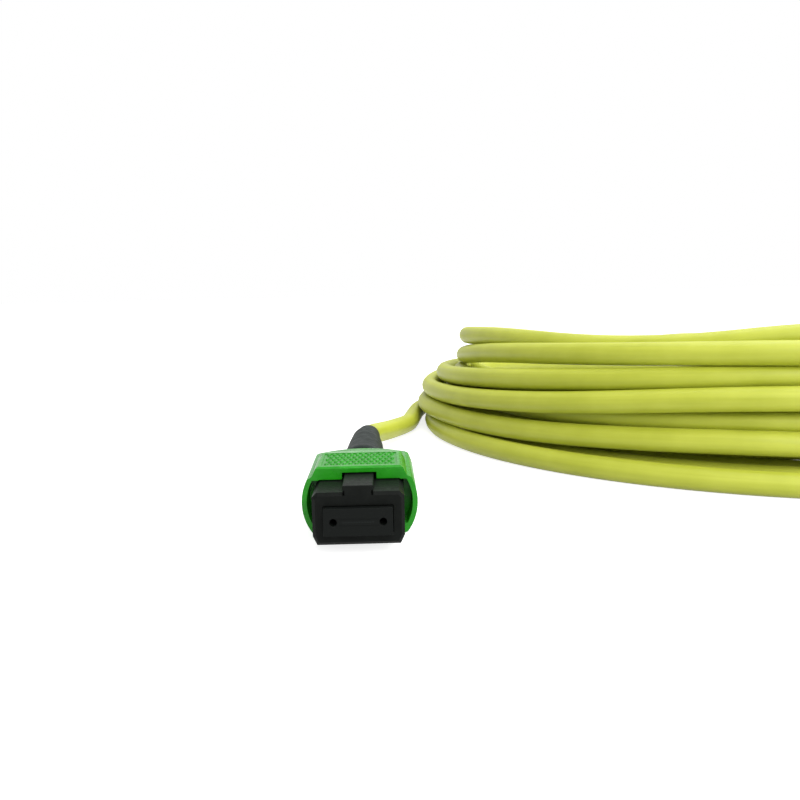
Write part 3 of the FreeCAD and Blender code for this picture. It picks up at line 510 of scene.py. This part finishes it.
# yarn: fine golden filaments, slightly twisted round the barrel
def yarnMaterial():
    look = {
        "deep": (0.34, 0.2, 0.03), "pale": (0.72, 0.5, 0.14), "stretch": (1, 0.08, 1),
        "strands": 2.6, "twist": 3.5, "depth": 0.05, "rough": (0.5, 0.7), "sheen": 0.3,
    }
    material, tree, shader = newMaterial("aramidYarn")
    place = millimetres(tree, look["stretch"])
    wave = newNode(tree, "ShaderNodeTexWave", wave_type="BANDS", bands_direction="X")
    wave.inputs["Scale"].default_value = look["strands"]
    wave.inputs["Distortion"].default_value = look["twist"]
    wave.inputs["Detail"].default_value = 3
    tree.links.new(place, wave.inputs["Vector"])
    strands = wave.outputs["Fac"]
    color = ramp(tree, strands, [(0.1, look["deep"]), (0.9, look["pale"])])
    tree.links.new(color, shader.inputs["Base Color"])
    tree.links.new(span(tree, strands, *look["rough"], 0, 1), shader.inputs["Roughness"])
    tree.links.new(bump(tree, strands, look["depth"]), shader.inputs["Normal"])
    shader.inputs["Sheen Weight"].default_value = look["sheen"]
    return material


# the ribbon's twelve fibres side by side, each in its own colour under clear matrix
fibreColors = [
    (0.03, 0.13, 0.5), (0.75, 0.22, 0.02), (0.03, 0.3, 0.06), (0.16, 0.07, 0.03),
    (0.22, 0.24, 0.26), (0.75, 0.75, 0.73), (0.6, 0.03, 0.03), (0.02, 0.02, 0.02),
    (0.75, 0.6, 0.03), (0.22, 0.06, 0.35), (0.75, 0.3, 0.35), (0.1, 0.55, 0.55),
]
ribbon = {"pitch": 0.25, "rough": (0.25, 0.4), "patch": 0.3, "ridge": 0.03, "coat": 0.5}


def ribbonMaterial(name, middle):
    material, tree, shader = newMaterial(name)
    place = millimetres(tree)
    split = newNode(tree, "ShaderNodeSeparateXYZ")
    tree.links.new(place, split.inputs["Vector"])
    count = len(fibreColors)
    half = ribbon["pitch"] * count / 2
    across = span(tree, split.outputs["X"], 0, 1, middle * perMetre - half, middle * perMetre + half)
    stops = [(i / count, color) for i, color in enumerate(fibreColors)]
    tree.links.new(ramp(tree, across, stops, "CONSTANT"), shader.inputs["Base Color"])
    ridges = newNode(tree, "ShaderNodeMath", operation="MULTIPLY")
    ridges.inputs[1].default_value = math.pi * count
    tree.links.new(across, ridges.inputs[0])
    waves = newNode(tree, "ShaderNodeMath", operation="SINE")
    tree.links.new(ridges.outputs[0], waves.inputs[0])
    lifted = newNode(tree, "ShaderNodeMath", operation="ABSOLUTE")
    tree.links.new(waves.outputs[0], lifted.inputs[0])
    tree.links.new(bump(tree, lifted.outputs[0], ribbon["ridge"]), shader.inputs["Normal"])
    patches = noise(tree, place, ribbon["patch"])
    tree.links.new(span(tree, patches, *ribbon["rough"]), shader.inputs["Roughness"])
    shader.inputs["Coat Weight"].default_value = ribbon["coat"]
    return material


finishes = {name: mouldedMaterial(name, look) for name, look in plastics.items()}
finishes.update({name: metalMaterial(name, look) for name, look in metals.items()})
finishes["filledResin"] = ferruleMaterial()
finishes["aramidYarn"] = yarnMaterial()
finishes["jacketLime"] = jacketMaterial()
print("finishes mixed")

# finish and rounding of the edges (mm) of each CAD node; the far plug's are the same
nodeLooks = {
    "ferrule": ("filledResin", 0.03),
    "ferrule_boot": ("ribbonRubber", 0.08),
    "fibre_ribbon": (None, 0.03),
    "pin_keeper": ("keeperSteel", 0.05),
    "main_spring": ("springSteel", 0),
    "inner_housing": ("housingBlack", 0.06),
    "spring_push": ("pushBlack", 0.05),
    "coupling_sleeve": ("sleeveGreen", 0.1),
    "sleeve_spring_left": ("springSteel", 0),
    "sleeve_spring_right": ("springSteel", 0),
    "crimp_sleeve": ("crimpNickel", 0.04),
    "aramid_yarn": ("aramidYarn", 0),
    "strain_relief_boot": ("bootRubber", 0.12),
    "cable_lead": ("jacketLime", 0),
    "cable_coil": ("jacketLime", 0),
    "cable_tail": ("jacketLime", 0),
}
edges = {"weld": 0.002, "steps": 2, "sharpest": 32}  # mm, count and degrees


def dressNodes():
    for name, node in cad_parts.items():
        finish, rounding = nodeLooks[name.removeprefix("far_")]
        low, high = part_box(name)
        middle = (low.x + high.x) / 2
        material = finishes[finish] if finish else ribbonMaterial(name + "Colours", middle)
        node.data.materials.clear()
        node.data.materials.append(material)
        weld = node.modifiers.new("joined", "WELD")
        weld.merge_threshold = edges["weld"] * mm
        if rounding:
            soft = node.modifiers.new("edges", "BEVEL")
            soft.width = rounding * mm
            soft.segments = edges["steps"]
            soft.limit_method = "ANGLE"
            soft.angle_limit = math.radians(edges["sharpest"])
            soft.harden_normals = True
        if finish == "bootRubber":
            even = node.modifiers.new("evenShading", "WEIGHTED_NORMAL")
            even.keep_sharp = True


dressNodes()
cableObj.data.materials.append(finishes["jacketLime"])
print("nodes dressed")


# a mesh as a piece that rides on a body
def meshPiece(name, bm, material, body):
    mesh = bpy.data.meshes.new(name)
    bm.to_mesh(mesh)
    bm.free()
    mesh.materials.append(material)
    obj = bpy.data.objects.new(name, mesh)
    bpy.context.collection.objects.link(obj)
    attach(obj, body)
    return obj


# lengths in mm
grip = {
    "columns": 12,
    "rows": 5,
    "pitch": (0.6, 1.1),  # across and along the plug
    "pip": (0.44, 0.74),
    "rise": 0.16,
    "sides": 12,
    "profile": ((1.0, -0.2), (0.94, 0.35), (0.72, 0.8), (0.36, 0.98)),  # shares of width and rise
    "front": 1.1,  # from the sleeve's front edge to the first row
    "floor": 0.1,  # depth of the panel that the pips stand in
}


# one pip: an oval dome on a slightly sunk foot
def addPip(bm, x, y, z):
    rings, sides = [], grip["sides"]
    for share, lift in grip["profile"]:
        ring = []
        for k in range(sides):
            t = 2 * math.pi * k / sides
            ring.append(bm.verts.new((
                x + math.cos(t) * grip["pip"][0] / 2 * share * mm,
                y + math.sin(t) * grip["pip"][1] / 2 * share * mm,
                z + grip["rise"] * lift * mm,
            )))
        rings.append(ring)
    for lower, upper in zip(rings, rings[1:]):
        for k in range(sides):
            after = (k + 1) % sides
            bm.faces.new((lower[k], lower[after], upper[after], upper[k]))
    bm.faces.new(rings[-1])


# low rounded pips in staggered rows on the sleeve's panel
def makeGrip(prefix):
    low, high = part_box(prefix + "coupling_sleeve")
    middle = (low.x + high.x) / 2
    bm = bmesh.new()
    for row in range(grip["rows"]):
        shift = 0.5 if row % 2 else 0
        for column in range(grip["columns"] - row % 2):
            x = middle + (column + shift - (grip["columns"] - 1) / 2) * grip["pitch"][0] * mm
            y = low.y + (grip["front"] + (row + 0.5) * grip["pitch"][1]) * mm
            addPip(bm, x, y, high.z - grip["floor"] * mm)
    name, body = prefix + "sleeve_grip", prefix + "sleeve"
    pips = meshPiece(name, bm, finishes["sleeveGreen"], body)
    for face in pips.data.polygons:
        face.use_smooth = True


# lengths in mm
springs = {
    "perTurn": 24,
    "sides": 8,
    "side": {"turns": 9, "wire": 0.18, "height": 1.0},
    "main": {"turns": 6, "wire": 0.4, "height": 2.9},
}


# round wire wound between a spring's seats, its end turns closed up
def springRings(low, high, look):
    middle, wire = (low + high) / 2, look["wire"] * mm / 2
    halfWidth, halfHeight = (high.x - low.x) / 2 - wire, look["height"] * mm / 2 - wire
    front, rear, turns = low.y + wire, high.y - wire, look["turns"]
    rings = []
    for step in range(turns * springs["perTurn"] + 1):
        gone = step / springs["perTurn"]
        closed = min(gone, 1) + max(gone - turns + 1, 0)
        pitch = (rear - front - 4 * wire) / (turns - 2)
        t = 2 * math.pi * gone
        out = Vector((math.cos(t), 0, math.sin(t)))
        place = Vector((halfWidth * out.x, 0, halfHeight * out.z)) + middle
        place.y = front + closed * 2 * wire + (gone - closed) * pitch
        heading = Vector((-halfWidth * out.z, pitch / (2 * math.pi), halfHeight * out.x)).normalized()
        across = (out - heading * out.dot(heading)).normalized()
        rise = heading.cross(across)
        angles = [2 * math.pi * k / springs["sides"] for k in range(springs["sides"])]
        rings.append([place + (across * math.cos(a) + rise * math.sin(a)) * wire for a in angles])
    return rings


# a wound spring that fills its node's box and takes the node's place, riding on the housing
def makeSpring(name, node, look):
    low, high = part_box(node)
    bm = bmesh.new()
    rings = [[bm.verts.new(spot) for spot in ring] for ring in springRings(low, high, look)]
    for ring, after in zip(rings, rings[1:]):
        for k in range(len(ring)):
            nextK = (k + 1) % len(ring)
            bm.faces.new((ring[k], after[k], after[nextK], ring[nextK])).smooth = True
    bm.faces.new(rings[0])
    bm.faces.new(rings[-1][::-1])
    bmesh.ops.recalc_face_normals(bm, faces=bm.faces)
    spring = meshPiece(name, bm, finishes["springSteel"], "housing")
    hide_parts(node)
    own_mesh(spring)


def makeSprings(prefix):
    makeSpring(prefix + "ferrule_coil", prefix + "main_spring", springs["main"])
    for side in ("left", "right"):
        node = prefix + "sleeve_spring_" + side
        makeSpring(prefix + "sleeve_coil_" + side, node, springs["side"])


# lengths in mm
fibreEnds = {
    "count": len(fibreColors),
    "pitch": ribbon["pitch"],
    "radius": 0.0625,
    "stand": 0.004,  # proud of the ferrule's face
    "foot": 0.03,  # and how far it goes back into it
    "sides": 16,
    "faceHeight": 2.5,
    "faceAngle": 8,  # degrees
    "cloud": 0.03,
    "gloss": 0.1,
    "deep": (0.009, 0.0115, 0.011),
    "pale": (0.015, 0.018, 0.017),
    "rough": (0.06, 0.12),
}


# polished glass of the fibres, nearly black as nothing shines back through it
def glassMaterial():
    material, tree, shader = newMaterial("polishedGlass")
    cloud = noise(tree, millimetres(tree), fibreEnds["cloud"])
    color = ramp(tree, cloud, [(0.3, fibreEnds["deep"]), (0.7, fibreEnds["pale"])])
    tree.links.new(color, shader.inputs["Base Color"])
    tree.links.new(span(tree, cloud, *fibreEnds["rough"]), shader.inputs["Roughness"])
    shader.inputs["Specular IOR Level"].default_value = fibreEnds["gloss"]
    return material


# polished fibre ends in a row across the middle of the ferrule's leaning face
def makeFibreEnds(prefix, glass):
    low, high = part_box(prefix + "ferrule")
    middle, axis = (low.x + high.x) / 2, (low.z + high.z) / 2
    lean = math.radians(fibreEnds["faceAngle"])
    face = Vector((middle, low.y + math.tan(lean) * fibreEnds["faceHeight"] * mm / 2, axis))
    out = Vector((0, -math.cos(lean), math.sin(lean)))
    up = Vector((0, math.sin(lean), math.cos(lean)))
    sides = fibreEnds["sides"]
    bm = bmesh.new()
    for i in range(fibreEnds["count"]):
        across = (i - (fibreEnds["count"] - 1) / 2) * fibreEnds["pitch"] * mm
        centre = face + Vector((across, 0, 0)) + out * fibreEnds["stand"] * mm
        ring, foot = [], []
        for k in range(sides):
            t = 2 * math.pi * k / sides
            spot = centre + (Vector((math.cos(t), 0, 0)) + up * math.sin(t)) * fibreEnds["radius"] * mm
            ring.append(bm.verts.new(spot))
            foot.append(bm.verts.new(spot - out * fibreEnds["foot"] * mm))
        bm.faces.new(ring)
        for k in range(sides):
            after = (k + 1) % sides
            bm.faces.new((foot[k], foot[after], ring[after], ring[k]))
    meshPiece(prefix + "fibre_ends", bm, glass, prefix + "ferrule_group")


glassFinish = glassMaterial()
for plug in ("", "far_"):
    makeGrip(plug)
    makeFibreEnds(plug, glassFinish)
    makeSprings(plug)
print("small pieces made")


# in metres
studio = {
    "floorSize": 6.0,
    "floorColor": (0.6, 0.6, 0.6),
    "floorRough": 0.9,
    "floorGloss": 0.1,
    "floorGlow": 0.8,  # lifts the floor to white for the camera; the shadow stays
    "world": 0.4,
    "aim": (0.05, 0.03, 0),  # where the lamps point
    # place, size and watts
    "lamps": {
        "above": ((0.22, 0.1, 0.54), 0.6, 3.1),
        "front": ((0.18, -0.52, 0.4), 0.5, 4.1),
        "right": ((0.6, -0.05, 0.3), 0.4, 0.9),
    },
}


# mixes in a plain white where the camera, a reflection or a clear surface looks
def whiteToEye(tree, surface, white, output, add=False):
    seen = newNode(tree, "ShaderNodeLightPath")
    first = newNode(tree, "ShaderNodeMath", operation="MAXIMUM")
    tree.links.new(seen.outputs["Is Camera Ray"], first.inputs[0])
    tree.links.new(seen.outputs["Is Glossy Ray"], first.inputs[1])
    second = newNode(tree, "ShaderNodeMath", operation="MAXIMUM")
    tree.links.new(first.outputs[0], second.inputs[0])
    tree.links.new(seen.outputs["Is Transmission Ray"], second.inputs[1])
    mix = newNode(tree, "ShaderNodeMixShader")
    tree.links.new(second.outputs[0], mix.inputs[0])
    tree.links.new(surface, mix.inputs[1])
    if add:
        both = newNode(tree, "ShaderNodeAddShader")
        tree.links.new(surface, both.inputs[0])
        tree.links.new(white, both.inputs[1])
        white = both.outputs[0]
    tree.links.new(white, mix.inputs[2])
    tree.links.new(mix.outputs[0], output)


def makeFloor():
    half = studio["floorSize"] / 2
    corners = [(-half, -half, 0), (half, -half, 0), (half, half, 0), (-half, half, 0)]
    mesh = bpy.data.meshes.new("floor")
    mesh.from_pydata(corners, [], [(0, 1, 2, 3)])
    floor = bpy.data.objects.new("floor", mesh)
    bpy.context.collection.objects.link(floor)
    material, tree, shader = newMaterial("paleFloor")
    shader.inputs["Base Color"].default_value = (*studio["floorColor"], 1)
    shader.inputs["Roughness"].default_value = studio["floorRough"]
    shader.inputs["Specular IOR Level"].default_value = studio["floorGloss"]
    glow = newNode(tree, "ShaderNodeEmission")
    glow.inputs["Strength"].default_value = studio["floorGlow"]
    output = tree.nodes["Material Output"].inputs["Surface"]
    whiteToEye(tree, shader.outputs["BSDF"], glow.outputs["Emission"], output, add=True)
    mesh.materials.append(material)


def makeWorld():
    world = bpy.data.worlds.new("studio")
    bpy.context.scene.world = world
    world.use_nodes = True
    tree = world.node_tree
    light = tree.nodes["Background"]
    light.inputs["Color"].default_value = (1, 1, 1, 1)
    light.inputs["Strength"].default_value = studio["world"]
    white = newNode(tree, "ShaderNodeBackground")
    white.inputs["Color"].default_value = (1, 1, 1, 1)
    whiteToEye(tree, light.outputs[0], white.outputs[0], tree.nodes["World Output"].inputs["Surface"])


def makeLamps():
    for name, (place, size, power) in studio["lamps"].items():
        data = bpy.data.lights.new(name, "AREA")
        data.size = size
        data.energy = power
        lamp = bpy.data.objects.new(name, data)
        bpy.context.collection.objects.link(lamp)
        lamp.location = place
        ahead = Vector(studio["aim"]) - lamp.location
        lamp.rotation_euler = ahead.to_track_quat("-Z", "Y").to_euler()


makeFloor()
makeWorld()
makeLamps()
bpy.context.scene.view_settings.view_transform = "Standard"
print("studio lit")

bpy.context.view_layer.update()
